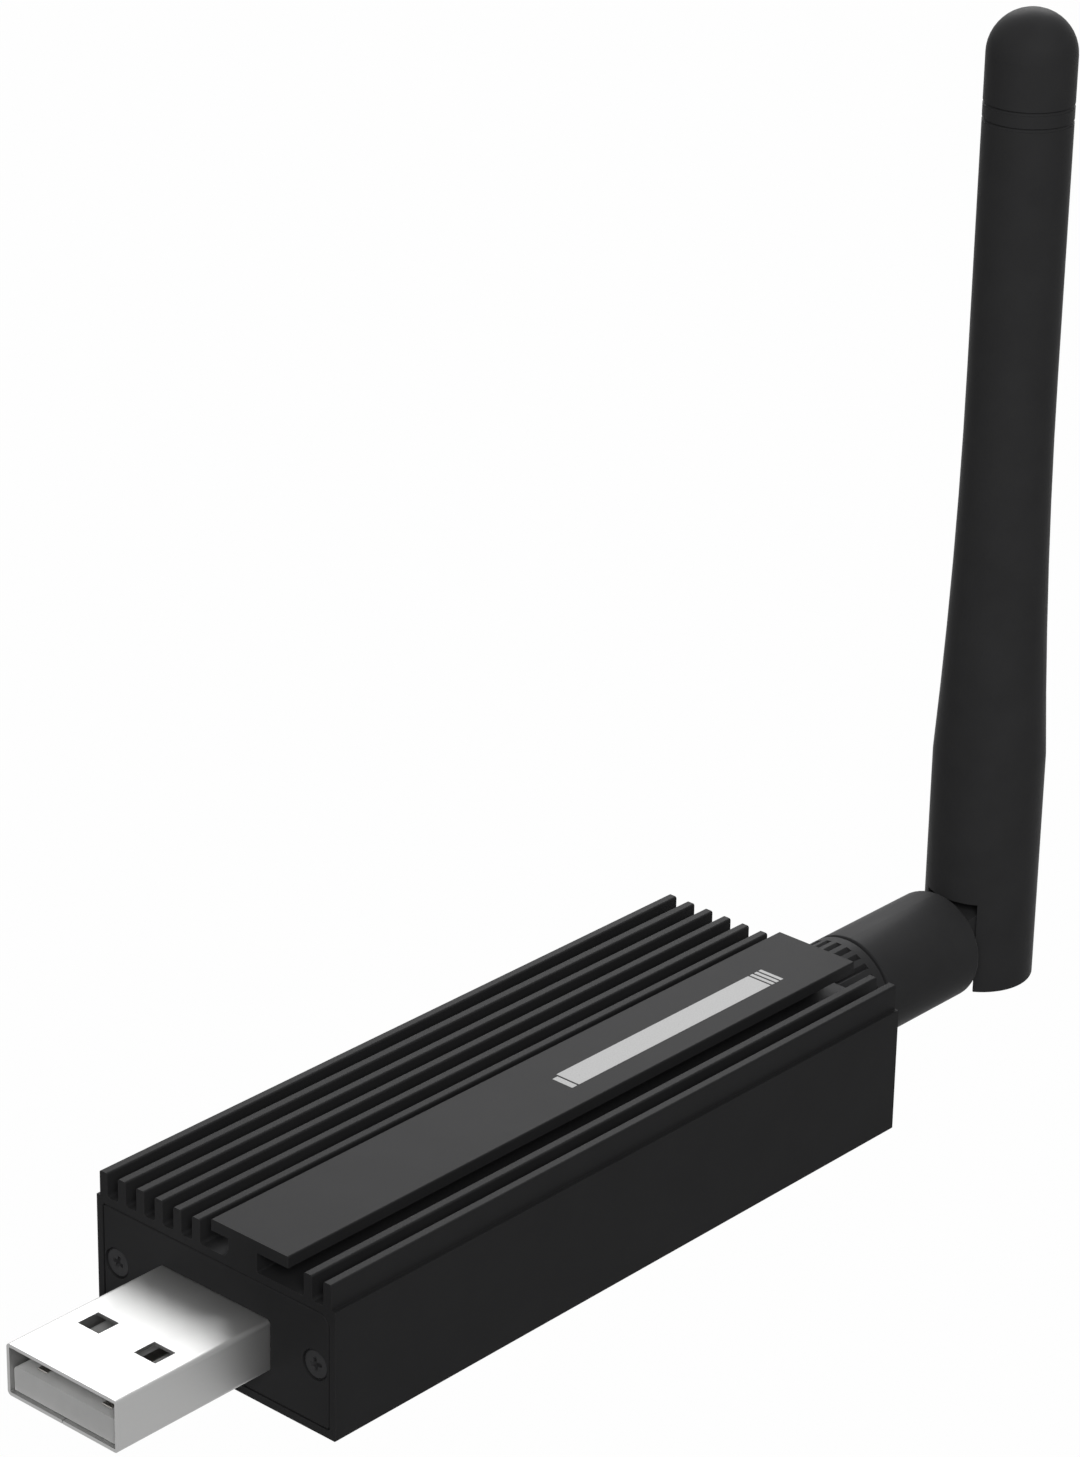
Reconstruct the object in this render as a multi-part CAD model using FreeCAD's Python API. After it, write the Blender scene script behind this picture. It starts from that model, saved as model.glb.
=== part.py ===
import FreeCAD
import Part
import math
import os
from FreeCAD import Vector

# USB radio stick: a finned aluminium extrusion with a USB plug at one end
# and a short swivelling rod aerial at the other.
# Millimetres. The origin is the centre of the housing's underside,
# +X runs from the plug to the aerial, +Y is the side with six fins, +Z is up.

# Working margins: how far a cutting shape runs past a face, and how far joined shapes reach into each other
cut_margin = 1.00
join_depth = 0.50
touch_tolerance = 1e-4
rounding_share = 0.49

# Housing extrusion
housing_length = 67.3
housing_width = 25.8
side_wall = 1.2
floor_thickness = 1.3
roof_thickness = 1.35
roof_height = 11.33
ledge_drop = 0.10
base_corner_radius = 0.12
cavity_corner_radius = 0.50

# Cooling fins, six on the left of the raised plate and two on its right
fin_height = 2.10
fin_thickness = 0.85
fin_pitch = 2.04
fin_inset = 0.40
left_fin_count = 6
right_fin_count = 2
fin_tip_radius = 0.18
fin_root_radius = 0.25

# Raised plate on its web, between the two groups of fins
plate_left_gap = 1.25
plate_right_gap = 1.64
plate_thickness = 1.00
plate_edge_radius = 0.12
web_height = 1.70
web_width = 3.05
web_offset = 1.80
web_root_radius = 1.55

# End panels, each let into a rebate and held by two countersunk screws
panel_thickness = 1.20
panel_side_border = 0.60
panel_bottom_border = 0.66
panel_top_border = 0.68
panel_corner_radius = 0.35
panel_key_radius = 1.00
panel_clearance = 0.12
panel_edge_chamfer = 0.08
screw_side_distance = 2.15
screw_height = 5.85
screw_port_radius = 1.75
screw_pilot_radius = 0.85
screw_shank_radius = 0.82
screw_head_radius = 1.22
screw_head_depth = 0.62
screw_recess_depth = 0.28
screw_top_depth = 0.11
screw_edge_break = 0.10
screw_recess_clearance = 0.10
screw_hole_clearance = 0.12
screw_length = 6.50
screw_tip_radius = 0.20
cross_width = 0.34
cross_half_length = 0.72
cross_depth = 0.30
cross_taper = 0.35
front_screw_turns = (18, -12)
rear_screw_turns = (40, 5)

# USB plug
plug_width = 12.00
plug_height = 4.50
plug_exposed_length = 15.70
plug_centre_height = 5.45
plug_seat_depth = 3.20
shell_thickness = 0.30
shell_corner_radius = 0.38
shell_seam_gap = 0.08
latch_hole_length = 2.10
latch_hole_width = 2.30
latch_hole_setback = 6.60
latch_hole_spacing = 6.10
opening_clearance = 0.06
shell_leg_length = 2.10
shell_leg_drop = 0.30
shell_leg_rise = 0.60
tongue_thickness = 2.20
tongue_setback = 0.40
tongue_side_clearance = 0.05
tongue_corner_radius = 0.45
plug_hollow_length = 12.40
contact_pitch_outer = 7.00
contact_pitch_inner = 2.00
contact_width = 1.00
contact_thickness = 0.25
contact_proud = 0.05
power_contact_setback = 1.20
data_contact_setback = 2.20
contact_tail_length = 1.40
contact_bend_run = 0.90
contact_side_clearance = 0.02
contact_end_slope = 0.10

# Circuit board on two rails in the extrusion
board_thickness = 1.60
board_side_distance = 4.05
board_front_gap = 0.20
board_corner_radius = 0.40
board_notch_clearance = 0.10
rail_width = 0.90
rail_grip = 0.70
lip_thickness = 0.60
lip_reach = 0.80
slot_clearance = 0.10

# Parts soldered on the board
radio_chip_size = 7.00
bridge_chip_size = 5.00
chip_height = 0.90
pin_mark_radius = 0.30
pin_mark_depth = 0.06
pin_mark_inset = 0.90
regulator_length = 3.00
regulator_width = 1.60
regulator_height = 1.10
lead_width = 0.40
lead_reach = 0.60
lead_thickness = 0.15
lead_pitch = 1.00
crystal_length = 3.20
crystal_width = 2.50
crystal_height = 0.80
clock_crystal_length = 2.00
clock_crystal_width = 1.60
led_length = 1.60
led_width = 0.80
led_height = 0.60
chip_part_length = 1.60
chip_part_width = 0.80
resistor_height = 0.50
capacitor_height = 0.80
capacitor_pitch = 2.00
resistor_pitch = 1.60
switch_length = 4.20
switch_width = 3.20
switch_height = 1.60
switch_hole_depth = 1.00
plunger_radius = 0.75
plunger_clearance = 0.05
plunger_rise = 0.70
plunger_travel = 0.25
plunger_floor_gap = 0.05

# Where they stand: forward from the board's front edge, and sideways from its middle or in from its side
bridge_chip_forward = 13.00
bridge_chip_sideways = 1.00
regulator_side_distance = 3.35
radio_chip_forward = 34.00
crystal_forward = 40.50
crystal_sideways = 3.50
led_forward = 19.00
led_side_distance = 1.85
front_capacitor_forward = 8.50
front_capacitor_count = 3
rear_capacitor_forward = 46.00
rear_capacitor_count = 4
front_resistor_forward = 18.50
front_resistor_count = 4
rear_resistor_forward = 28.00
rear_resistor_count = 5
switch_forward = 24.00
switch_side_distance = 3.35

# Aerial jack: threaded barrel through the rear panel, with washer and nut
aerial_axis_height = 5.02
jack_block_size = 6.40
jack_block_thickness = 1.90
jack_block_corner_radius = 0.20
jack_barrel_radius = 3.175
jack_barrel_length = 7.20
jack_hole_clearance = 0.08
jack_leg_size = 1.00
jack_leg_length = 4.00
jack_leg_spacing = 4.40
jack_mouth_radius = 2.30
jack_mouth_depth = 2.90
jack_insulator_radius = 2.05
jack_contact_radius = 0.64
jack_pin_radius = 0.45
jack_pin_length = 2.20
jack_socket_depth = 1.90
jack_slit_width = 0.20
washer_radius = 4.40
washer_thickness = 0.50
nut_across_flats = 8.00
nut_sides = 6
nut_thickness = 1.80
fit_clearance = 0.02

# Screw-on coupling of the aerial, inside its grooved grip collar
collar_radius = 5.00
collar_front = 2.65
collar_length = 6.65
collar_rear_wall = 0.55
collar_edge_chamfer = 0.15
groove_count = 28
groove_width = 0.62
groove_depth = 0.42
groove_end_margin = 1.10
coupling_radius = 4.10
coupling_thread_clearance = 0.03
coupling_rear_wall = 0.75
plug_flange_radius = 3.10
plug_flange_thickness = 0.70
plug_ring_radius = 2.25
plug_ring_wall = 0.30
plug_ring_length = 2.60
plug_tail_radius = 2.60
plug_tail_length = 6.90
plug_bead_radius = 2.95
plug_bead_width = 0.60
plug_bead_setback = 0.60
plug_bead_front_radius = 0.10
plug_bead_rear_radius = 0.25
plug_pin_radius = 0.42
plug_pin_reach = 1.70
plug_insulator_length = 4.00
running_clearance = 0.05

# Swivel sleeve with the hinge tongue
sleeve_radius = 5.00
seam_gap = 0.25
sleeve_length = 12.65
sleeve_edge_radius = 0.45
hinge_distance = 28.58
tongue_plate_thickness = 5.20
tongue_plate_radius = 2.70
trunnion_radius = 1.50
trunnion_reach = 1.20
cable_radius = 0.66
cable_bore_clearance = 0.09
hinge_cable_gap = 0.85

# Whip with its fork, neck, two ring grooves and round tip
whip_low_radius = 5.00
whip_top_radius = 3.89
whip_bottom_drop = 4.84
whip_edge_radius = 0.25
whip_neck_start = 21.80
whip_neck_end = 57.50
whip_dome_height = 85.30
fork_slot_clearance = 0.15
fork_roof_clearance = 1.15
fork_back_clearance = 0.25
ring_groove_low = 79.75
ring_groove_spacing = 1.40
ring_groove_width = 0.36
ring_groove_depth = 0.20
whip_cavity_radius = 2.50
whip_cavity_start = 24.00
whip_cavity_end = 82.50
radiator_tube_clearance = 0.08
radiator_tube_wall = 0.35
radiator_tube_edge_radius = 0.20
radiator_tube_length = 26.00
radiator_wire_radius = 0.40
radiator_wire_length = 27.00

# Places worked out from the sizes above
front_x = -housing_length / 2
rear_x = housing_length / 2
half_width = housing_width / 2
ledge_height = roof_height - ledge_drop
fin_top = roof_height + fin_height
plate_under = roof_height + web_height
plate_top = plate_under + plate_thickness
fin_face = half_width - fin_inset
left_group_end = fin_face - (left_fin_count - 1) * fin_pitch - fin_thickness
right_group_end = -fin_face + (right_fin_count - 1) * fin_pitch + fin_thickness
plate_left = left_group_end - plate_left_gap
plate_right = right_group_end + plate_right_gap
web_left = plate_left - web_offset
web_right = web_left - web_width
cavity_half = half_width - side_wall
cavity_top = roof_height - roof_thickness
panel_half = half_width - panel_side_border
panel_low = panel_bottom_border
panel_high = roof_height - panel_top_border
screw_places = [half_width - screw_side_distance, screw_side_distance - half_width]

plug_tip = front_x - plug_exposed_length
shell_rear = front_x + plug_seat_depth
shell_low = plug_centre_height - plug_height / 2
shell_high = plug_centre_height + plug_height / 2
tongue_low = shell_low + shell_thickness
tongue_top = tongue_low + tongue_thickness
contact_bottom = tongue_top + contact_proud - contact_thickness

board_top = aerial_axis_height - jack_pin_radius
board_bottom = board_top - board_thickness
board_half = half_width - board_side_distance
board_front = shell_rear + board_front_gap
led_sideways = board_half - led_side_distance
switch_sideways = board_half - switch_side_distance
panel_inside = rear_x - panel_thickness
board_rear = panel_inside - jack_block_thickness

jack_end = rear_x + jack_barrel_length
collar_start = rear_x + collar_front
collar_end = collar_start + collar_length
plug_flange_end = jack_end + plug_flange_thickness
coupling_end = collar_end - collar_rear_wall - fit_clearance
plug_tail_end = plug_flange_end + plug_tail_length
sleeve_start = collar_end + seam_gap
shoulder_x = sleeve_start + sleeve_length
hinge_x = rear_x + hinge_distance
cable_bore_radius = cable_radius + cable_bore_clearance

fork_half = tongue_plate_thickness / 2 + fork_slot_clearance
fork_roof = aerial_axis_height + tongue_plate_radius + fork_roof_clearance
whip_bottom = aerial_axis_height - whip_bottom_drop


def box(x_range, y_range, z_range):
    """Box between low and high corners, each range given in either order."""
    low = Vector(min(x_range), min(y_range), min(z_range))
    high = Vector(max(x_range), max(y_range), max(z_range))
    size = high - low
    return Part.makeBox(size.x, size.y, size.z, low)


def rounded_wire(corners, place):
    """Closed outline through corners (a, b, radius); place turns (a, b) into a point."""
    edges = []
    starts = []
    ends = []
    arcs = []
    count = len(corners)
    for index, (a, b, radius) in enumerate(corners):
        before = corners[index - 1]
        after = corners[(index + 1) % count]
        corner = Vector(a, b, 0)
        back = Vector(before[0], before[1], 0) - corner
        ahead = Vector(after[0], after[1], 0) - corner
        # A rounding takes at most just under half of each side that meets in the corner.
        room = rounding_share * min(back.Length, ahead.Length)
        back.normalize()
        ahead.normalize()
        half_angle = math.acos(max(-1.0, min(1.0, back.dot(ahead)))) / 2
        reach = min(radius / math.tan(half_angle), room)
        if reach < touch_tolerance:
            starts.append(corner)
            ends.append(corner)
            arcs.append(None)
            continue
        true_radius = reach * math.tan(half_angle)
        inward = back + ahead
        inward.normalize()
        centre = corner + inward * (true_radius / math.sin(half_angle))
        starts.append(corner + back * reach)
        ends.append(corner + ahead * reach)
        arcs.append(centre - inward * true_radius)
    for index in range(count):
        start = starts[index]
        end = ends[index]
        if arcs[index] is not None:
            middle = arcs[index]
            arc = Part.Arc(place(start.x, start.y), place(middle.x, middle.y), place(end.x, end.y))
            edges.append(arc.toShape())
        following = starts[(index + 1) % count]
        if (following - end).Length > touch_tolerance:
            edges.append(Part.LineSegment(place(end.x, end.y), place(following.x, following.y)).toShape())
    return Part.Wire(edges)


def prism_along_x(corners, x_start, x_end):
    """Solid with the outline (y, z, radius) between two stations along X."""
    wire = rounded_wire(corners, lambda y, z: Vector(x_start, y, z))
    return Part.Face(wire).extrude(Vector(x_end - x_start, 0, 0))


def prism_up(corners, z_start, z_end):
    """Solid with the outline (x, y, radius) between two heights."""
    wire = rounded_wire(corners, lambda x, y: Vector(x, y, z_start))
    return Part.Face(wire).extrude(Vector(0, 0, z_end - z_start))


def rectangle(a_range, b_range, radius):
    """Corners of a rectangle with one rounding all round."""
    a_low, a_high = min(a_range), max(a_range)
    b_low, b_high = min(b_range), max(b_range)
    lower = [(a_low, b_low, radius), (a_high, b_low, radius)]
    upper = [(a_high, b_high, radius), (a_low, b_high, radius)]
    return lower + upper


def turned_x(corners, y, z):
    """Turned solid about a line along X, from the outline (x, distance from the line, radius)."""
    wire = rounded_wire(corners, lambda along, out: Vector(along, y, z + out))
    return Part.Face(wire).revolve(Vector(0, y, z), Vector(1, 0, 0), 360)


def turned_z(corners, x, y):
    """Turned solid about an upright line, from the outline (z, distance from the line, radius)."""
    wire = rounded_wire(corners, lambda along, out: Vector(x + out, y, along))
    return Part.Face(wire).revolve(Vector(x, y, 0), Vector(0, 0, 1), 360)


def rod_x(x_range, radius):
    """Rod on the aerial's axis."""
    return turned_x(rectangle(x_range, (0, radius), 0), 0, aerial_axis_height)


def tube_x(x_range, inner_radius, outer_radius):
    """Tube on the aerial's axis."""
    return turned_x(rectangle(x_range, (inner_radius, outer_radius), 0), 0, aerial_axis_height)


def housing_outline():
    """Outline of the extrusion, with fins, plate and web, from the base round over the top."""
    corners = [(-half_width, 0, base_corner_radius), (half_width, 0, base_corner_radius)]
    corners.append((half_width, ledge_height, base_corner_radius / 2))
    corners.append((fin_face, ledge_height, 0))
    for index in range(left_fin_count):
        outer = fin_face - index * fin_pitch
        inner = outer - fin_thickness
        if index > 0:
            corners.append((outer, roof_height, fin_root_radius))
        corners.append((outer, fin_top, fin_tip_radius))
        corners.append((inner, fin_top, fin_tip_radius))
        corners.append((inner, roof_height, fin_root_radius))
    corners.append((web_left, roof_height, web_root_radius))
    corners.append((web_left, plate_under, 0))
    corners.append((plate_left, plate_under, 0))
    corners.append((plate_left, plate_top, plate_edge_radius))
    corners.append((plate_right, plate_top, plate_edge_radius))
    corners.append((plate_right, plate_under, 0))
    corners.append((web_right, plate_under, 0))
    corners.append((web_right, roof_height, fin_root_radius / 2))
    for index in reversed(range(right_fin_count)):
        outer = -fin_face + index * fin_pitch
        inner = outer + fin_thickness
        corners.append((inner, roof_height, fin_root_radius))
        corners.append((inner, fin_top, fin_tip_radius))
        corners.append((outer, fin_top, fin_tip_radius))
        if index > 0:
            corners.append((outer, roof_height, fin_root_radius))
    corners.append((-fin_face, ledge_height, 0))
    corners.append((-half_width, ledge_height, base_corner_radius / 2))
    return corners


def panel_outline(inset):
    """Outline of an end panel, drawn in by a clearance; one wide corner keeps it from going in upside down."""
    side = panel_half - inset
    low = panel_low + inset
    high = panel_high - inset
    radius = panel_corner_radius - inset
    corners = [(-side, low, radius), (side, low, radius), (side, high, radius)]
    corners.append((-side, high, panel_key_radius - inset))
    return corners


def make_housing():
    """Extrusion with its cavity, screw ports, board rails and end rebates."""
    solid = prism_along_x(housing_outline(), front_x, rear_x)
    cavity_y = (-cavity_half, cavity_half)
    cavity_z = (floor_thickness, cavity_top)
    cavity = prism_along_x(rectangle(cavity_y, cavity_z, cavity_corner_radius), front_x, rear_x)
    fittings = []
    for place in screw_places:
        side = math.copysign(1, place)
        port_start = Vector(front_x, place, screw_height)
        fittings.append(Part.makeCylinder(screw_port_radius, housing_length, port_start, Vector(1, 0, 0)))
        grip = side * (board_half - rail_grip)
        rail_y = (grip, grip + side * rail_width)
        fittings.append(box((front_x, rear_x), rail_y, (floor_thickness - join_depth, board_bottom)))
        lip_low = board_top + slot_clearance
        lip_y = (grip, side * (board_half + lip_reach))
        fittings.append(box((front_x, rear_x), lip_y, (lip_low, lip_low + lip_thickness)))
    solid = solid.cut(cavity.cut(fittings))
    cutters = []
    for place in screw_places:
        pilot_start = Vector(front_x, place, screw_height)
        cutters.append(Part.makeCylinder(screw_pilot_radius, housing_length, pilot_start, Vector(1, 0, 0)))
    cutters.append(prism_along_x(panel_outline(0), front_x, front_x + panel_thickness))
    cutters.append(prism_along_x(panel_outline(0), rear_x - panel_thickness, rear_x))
    return solid.cut(cutters).removeSplitter()


def screw_outline(face_x, inward, depth_list):
    """Turned outline for a screw or its hole, from (depth below the panel face, radius) pairs."""
    corners = []
    for depth, radius in depth_list:
        corners.append((face_x + inward * depth, radius, 0))
    first_depth = depth_list[0][0]
    last_depth = depth_list[-1][0]
    corners.append((face_x + inward * last_depth, 0, 0))
    corners.append((face_x + inward * first_depth, 0, 0))
    return corners


def make_panel(face_x, inward, opening):
    """End panel with chamfered rim, one opening and two countersunk screw holes."""
    solid = prism_along_x(panel_outline(panel_clearance), face_x, face_x + inward * panel_thickness)
    rim = []
    for edge in solid.Edges:
        limits = edge.BoundBox
        if abs(limits.XMin - face_x) < touch_tolerance and limits.XLength < touch_tolerance:
            rim.append(edge)
    solid = solid.makeChamfer(panel_edge_chamfer, rim)
    solid = solid.cut(opening)
    recess_radius = screw_head_radius + screw_recess_clearance
    cone_start = screw_recess_depth + fit_clearance
    hole_radius = screw_shank_radius + screw_hole_clearance
    hole = [(-cut_margin, recess_radius), (screw_recess_depth, recess_radius)]
    hole.append((screw_recess_depth, screw_head_radius + fit_clearance))
    hole.append((cone_start + screw_head_depth, hole_radius))
    hole.append((panel_thickness + cut_margin, hole_radius))
    for place in screw_places:
        solid = solid.cut(turned_x(screw_outline(face_x, inward, hole), place, screw_height))
    return solid


def cross_recess(face_x, inward, depth, angle):
    """Four-lobed driver recess, narrowing with depth, centred on the X axis through the origin."""
    lobes = []
    for turn in (0, 90):
        outline = [(face_x, -cross_half_length, 0), (face_x, cross_half_length, 0)]
        bottom_x = face_x + inward * (depth + cross_depth)
        outline.append((bottom_x, cross_half_length * cross_taper, 0))
        outline.append((bottom_x, -cross_half_length * cross_taper, 0))
        wire = rounded_wire(outline, lambda x, y: Vector(x, y, -cross_width / 2))
        lobe = Part.Face(wire).extrude(Vector(0, 0, cross_width))
        lobe.rotate(Vector(0, 0, 0), Vector(1, 0, 0), angle + turn)
        lobes.append(lobe)
    return lobes


def make_screws(face_x, inward, angles):
    """Pair of countersunk cross-recess screws, their heads just below the panel's face."""
    body = [(screw_top_depth, screw_head_radius - screw_edge_break)]
    body.append((screw_top_depth + screw_edge_break, screw_head_radius))
    body.append((screw_recess_depth, screw_head_radius))
    body.append((screw_recess_depth + screw_head_depth, screw_shank_radius))
    body.append((screw_length, screw_shank_radius))
    body.append((screw_length + screw_shank_radius, screw_tip_radius))
    screws = []
    for place, angle in zip(screw_places, angles):
        screw = turned_x(screw_outline(face_x, inward, body), place, screw_height)
        for lobe in cross_recess(face_x, inward, screw_top_depth, angle):
            lobe.translate(Vector(0, place, screw_height))
            screw = screw.cut(lobe)
        screws.append(screw)
    return Part.makeCompound(screws)


def plug_outline(grow):
    """Outline of the plug shell, grown or shrunk by an even offset."""
    half = plug_width / 2 + grow
    z_range = (shell_low - grow, shell_high + grow)
    return rectangle((-half, half), z_range, shell_corner_radius + grow)


def leg_faces():
    """Outer faces of the two solder legs of the plug shell."""
    return [(1, plug_width / 2), (-1, -plug_width / 2)]


def make_usb_shell():
    """Rolled steel shell with four latch holes, a joint line below and two solder legs."""
    shell = prism_along_x(plug_outline(0), plug_tip, shell_rear)
    shell = shell.cut(prism_along_x(plug_outline(-shell_thickness), plug_tip, shell_rear))
    hole_centre = plug_tip + latch_hole_setback
    hole_x = (hole_centre - latch_hole_length / 2, hole_centre + latch_hole_length / 2)
    low_z = (shell_low - cut_margin, shell_low + cut_margin)
    high_z = (shell_high - cut_margin, shell_high + cut_margin)
    cutters = []
    for side in (1, -1):
        centre = side * latch_hole_spacing / 2
        hole_y = (centre - latch_hole_width / 2, centre + latch_hole_width / 2)
        cutters.append(box(hole_x, hole_y, low_z))
        cutters.append(box(hole_x, hole_y, high_z))
    seam_y = (-shell_seam_gap / 2, shell_seam_gap / 2)
    cutters.append(box((plug_tip, shell_rear), seam_y, low_z))
    shell = shell.cut(cutters)
    legs = []
    straight_low = shell_low + shell_corner_radius
    for side, face in leg_faces():
        leg_y = (face, face - side * shell_thickness)
        leg_high = board_top + shell_leg_rise
        leg_x = (shell_rear - shell_thickness, shell_rear + shell_leg_length)
        legs.append(box(leg_x, leg_y, (straight_low, leg_high)))
        drop_x = (shell_rear + board_front_gap, shell_rear + shell_leg_length)
        legs.append(box(drop_x, leg_y, (board_bottom - shell_leg_drop, leg_high)))
    return shell.fuse(legs).removeSplitter()


def contact_stations():
    """Sideways place and start of each of the four contacts."""
    outer = contact_pitch_outer / 2
    inner = contact_pitch_inner / 2
    power = plug_tip + power_contact_setback
    data = plug_tip + data_contact_setback
    return [(outer, power), (inner, data), (-inner, data), (-outer, power)]


def make_usb_insulator():
    """Plastic tongue with its contact channels, in one piece with the block that fills the shell's rear."""
    half = plug_width / 2 - shell_thickness - tongue_side_clearance
    radius = tongue_corner_radius
    low = tongue_low + tongue_side_clearance
    corner = shell_corner_radius - shell_thickness
    section = [(-half, low, corner), (half, low, corner)]
    section += [(half, tongue_top, radius), (-half, tongue_top, radius)]
    tongue = prism_along_x(section, plug_tip + tongue_setback, shell_rear)
    block_start = plug_tip + tongue_setback + plug_hollow_length
    block_z = (low, shell_high - shell_thickness - tongue_side_clearance)
    block = prism_along_x(rectangle((-half, half), block_z, corner), block_start, shell_rear)
    solid = tongue.fuse(block).removeSplitter()
    for place, start in contact_stations():
        half_channel = contact_width / 2 + contact_side_clearance
        channel_z = (contact_bottom, contact_bottom + contact_thickness + contact_side_clearance)
        channel_y = (place - half_channel, place + half_channel)
        solid = solid.cut(box((start, shell_rear + cut_margin), channel_y, channel_z))
    return solid


def make_usb_contact(place, start):
    """Flat spring strip that lies in the tongue and steps down to its pad on the board."""
    top = contact_bottom + contact_thickness
    bend = shell_rear + board_front_gap
    foot = bend + contact_bend_run
    toe = foot + contact_tail_length
    low = board_top
    corners = [(start, contact_bottom, 0), (bend, contact_bottom, 0), (foot, low, 0), (toe, low, 0)]
    corners += [(toe, low + contact_thickness, 0), (foot + contact_end_slope, low + contact_thickness, 0)]
    corners += [(bend + contact_end_slope, top, 0), (start + contact_end_slope, top, 0)]
    wire = rounded_wire(corners, lambda x, z: Vector(x, place - contact_width / 2, z))
    return Part.Face(wire).extrude(Vector(0, contact_width, 0))


def make_board():
    """Circuit board, notched at the front for the legs of the plug shell."""
    outline = rectangle((board_front, board_rear), (-board_half, board_half), board_corner_radius)
    board = prism_up(outline, board_bottom, board_top)
    notch_x = (board_front - cut_margin, shell_rear + shell_leg_length + board_notch_clearance)
    notches = []
    for side, face in leg_faces():
        outer = face + side * board_notch_clearance
        inner = face - side * (shell_thickness + board_notch_clearance)
        notches.append(box(notch_x, (outer, inner), (board_bottom - cut_margin, board_top + cut_margin)))
    return board.cut(notches)


def on_board(forward, sideways, length, width, height):
    """Box that stands on the board, placed by its centre; forward counts from the board's front edge."""
    x = board_front + forward
    x_range = (x - length / 2, x + length / 2)
    return box(x_range, (sideways - width / 2, sideways + width / 2), (board_top, board_top + height))


def make_chip(forward, sideways, size):
    """Square leadless chip with a round mark at one corner."""
    body = on_board(forward, sideways, size, size, chip_height)
    mark_offset = size / 2 - pin_mark_inset
    mark_x = board_front + forward - mark_offset
    mark_low = board_top + chip_height - pin_mark_depth
    mark_start = Vector(mark_x, sideways + mark_offset, mark_low)
    mark = Part.makeCylinder(pin_mark_radius, cut_margin, mark_start)
    return body.cut(mark)


def make_regulator(forward, sideways):
    """Three-legged regulator: one leg on one side, two on the other, as small power parts have."""
    body = on_board(forward, sideways, regulator_length, regulator_width, regulator_height)
    # Each leg runs from the middle of the body to past its side.
    lead_span = regulator_width / 2 + lead_reach
    leads = []
    for step, side in ((0, 1), (-1, -1), (1, -1)):
        lead_y = sideways + side * lead_span / 2
        leads.append(on_board(forward + step * lead_pitch, lead_y, lead_width, lead_span, lead_thickness))
    return body.fuse(leads).removeSplitter()


def make_switch_base(forward, sideways):
    """Square body of a push switch, with the round hole for its plunger."""
    body = on_board(forward, sideways, switch_length, switch_width, switch_height)
    floor = board_top + switch_height - switch_hole_depth
    hole_start = Vector(board_front + forward, sideways, floor)
    return body.cut(Part.makeCylinder(plunger_radius + plunger_clearance, switch_height, hole_start))


def make_plunger(forward, sideways):
    """Round plunger of a push switch, raised by its travel."""
    low = board_top + switch_height - switch_hole_depth + plunger_travel + plunger_floor_gap
    high = board_top + switch_height + plunger_rise
    return Part.makeCylinder(plunger_radius, high - low, Vector(board_front + forward, sideways, low))


def make_row(forward, count, pitch, height):
    """Row of equal small chip parts, evenly spread about the board's middle."""
    row = []
    for index in range(count):
        sideways = (index - (count - 1) / 2) * pitch
        row.append(on_board(forward, sideways, chip_part_length, chip_part_width, height))
    return row


def make_jack_body():
    """Jack in one turned and milled piece: block, four board legs and hollow threaded barrel."""
    half = jack_block_size / 2
    block_z = (aerial_axis_height - half, aerial_axis_height + half)
    block = rectangle((-half, half), block_z, jack_block_corner_radius)
    body = prism_along_x(block, board_rear, panel_inside)
    solids = [rod_x((panel_inside - join_depth, jack_end), jack_barrel_radius)]
    for side in (1, -1):
        centre = side * jack_leg_spacing / 2
        leg_y = (centre - jack_leg_size / 2, centre + jack_leg_size / 2)
        leg_x = (board_rear - jack_leg_length, board_rear + join_depth)
        solids.append(box(leg_x, leg_y, (board_top, board_top + jack_leg_size)))
        solids.append(box(leg_x, leg_y, (board_bottom, board_bottom - jack_leg_size)))
    body = body.fuse(solids).removeSplitter()
    # The bore starts at the block's inner face, so that the legs keep their full width behind it.
    bore = rod_x((board_rear, jack_end + cut_margin), jack_insulator_radius + fit_clearance)
    mouth = rod_x((jack_end - jack_mouth_depth, jack_end + cut_margin), jack_mouth_radius)
    return body.cut([bore, mouth])


def make_jack_contact():
    """Centre contact: pin on the board, larger body in the insulator, split socket in front."""
    socket_end = jack_end - jack_mouth_depth
    solid = rod_x((board_rear, socket_end), jack_contact_radius)
    pin = rod_x((board_rear - jack_pin_length, board_rear + join_depth), jack_pin_radius)
    solid = solid.fuse(pin).removeSplitter()
    socket_x = (socket_end - jack_socket_depth, socket_end + cut_margin)
    socket = rod_x(socket_x, plug_pin_radius + fit_clearance)
    slit_y = (-jack_slit_width / 2, jack_slit_width / 2)
    slit = box(socket_x, slit_y, (aerial_axis_height - cut_margin, aerial_axis_height + cut_margin))
    return solid.cut([socket, slit])


def make_jack_nut():
    """Six-sided nut with its flats level, chamfered at the corners on the outside."""
    start = rear_x + washer_thickness
    corner_radius = nut_across_flats / 2 / math.cos(math.pi / nut_sides)
    corners = []
    for index in range(nut_sides):
        angle = 2 * math.pi * index / nut_sides
        corner_z = aerial_axis_height + corner_radius * math.sin(angle)
        corners.append((corner_radius * math.cos(angle), corner_z, 0))
    nut = prism_along_x(corners, start, start + nut_thickness)
    bevel = corner_radius - nut_across_flats / 2
    end = start + nut_thickness
    envelope = [(start, 0, 0), (start, corner_radius, 0), (end - bevel / 2, corner_radius, 0)]
    envelope += [(end, nut_across_flats / 2, 0), (end, 0, 0)]
    nut = nut.common(turned_x(envelope, 0, aerial_axis_height))
    return nut.cut(rod_x((start - cut_margin, end + cut_margin), jack_barrel_radius + fit_clearance))


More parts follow.
